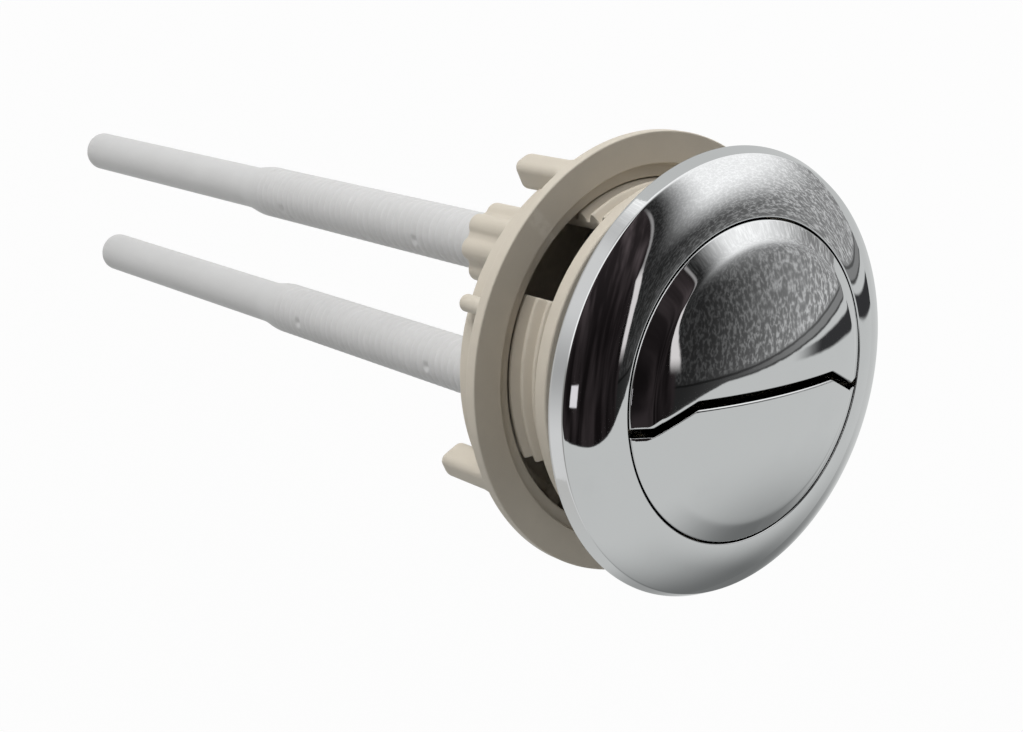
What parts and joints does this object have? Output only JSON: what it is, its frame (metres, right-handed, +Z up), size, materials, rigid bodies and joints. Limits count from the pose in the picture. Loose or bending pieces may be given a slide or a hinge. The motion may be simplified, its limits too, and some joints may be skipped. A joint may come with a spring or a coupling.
{
  "type": "dual flush cistern push button",
  "caption": "Round chromed dual flush push button with split caps, a threaded body with a clamp nut for the cistern lid, and adjustable push rods that work the flush valve.",
  "frame": {"origin": "on the button's axis, on the plane where the bezel rim sits on the cistern lid", "axes": "+Z up, out of the lid towards the user; +Y towards the larger button; the rods run down along -Z"},
  "size_m": [0.0606, 0.0606, 0.1838],
  "materials": {
    "chromed_plastic": "polished chrome plating",
    "beige_plastic": "satin moulded",
    "white_plastic": "satin moulded",
    "spring_steel": "drawn wire"
  },
  "bodies": {
    "housing": {"bezel_ring": "chromed_plastic", "threaded_body": "beige_plastic", "full_flush_spring": "spring_steel", "half_flush_spring": "spring_steel"},
    "clamp_nut": {"clamp_nut": "beige_plastic"},
    "full_flush": {"full_flush_button": "chromed_plastic", "full_flush_plunger": "beige_plastic", "full_flush_clip": "spring_steel"},
    "full_flush_adjuster": {"full_flush_adjuster": "beige_plastic"},
    "full_flush_rod": {"full_flush_rod": "white_plastic"},
    "half_flush": {"half_flush_button": "chromed_plastic", "half_flush_plunger": "beige_plastic", "half_flush_clip": "spring_steel"},
    "half_flush_adjuster": {"half_flush_adjuster": "beige_plastic"},
    "half_flush_rod": {"half_flush_rod": "white_plastic"}
  },
  "joints": [
    {"name": "clamp_nut_travel", "type": "slide", "parent": "housing", "child": "clamp_nut", "axis": [0, 0, 1], "range_m": [-0.006, 0.0055]},
    {"name": "full_flush_press", "type": "slide", "parent": "housing", "child": "full_flush", "axis": [0, 0, -1], "range_m": [0, 0.007], "stiffness_N_per_m": 250, "springref_m": -0.006, "deforming": ["full_flush_spring"]},
    {"name": "full_flush_adjuster_turn", "type": "hinge", "parent": "full_flush", "child": "full_flush_adjuster", "pos_m": [0, 0.01, -0.045], "axis": [0, 0, 1], "range_deg": [-4050, 2700]},
    {"name": "full_flush_rod_extend", "type": "slide", "parent": "full_flush", "child": "full_flush_rod", "axis": [0, 0, -1], "range_m": [-0.018, 0.012]},
    {"name": "half_flush_press", "type": "slide", "parent": "housing", "child": "half_flush", "axis": [0, 0, -1], "range_m": [0, 0.007], "stiffness_N_per_m": 250, "springref_m": -0.006, "deforming": ["half_flush_spring"]},
    {"name": "half_flush_adjuster_turn", "type": "hinge", "parent": "half_flush", "child": "half_flush_adjuster", "pos_m": [0, -0.01, -0.045], "axis": [0, 0, 1], "range_deg": [-4050, 2700]},
    {"name": "half_flush_rod_extend", "type": "slide", "parent": "half_flush", "child": "half_flush_rod", "axis": [0, 0, -1], "range_m": [-0.018, 0.012]}
  ],
  "couplings": [
    {"joint": "full_flush_adjuster_turn", "follows": "full_flush_rod_extend", "rad_per_m": 3926.9},
    {"joint": "half_flush_adjuster_turn", "follows": "half_flush_rod_extend", "rad_per_m": 3926.9}
  ]
}
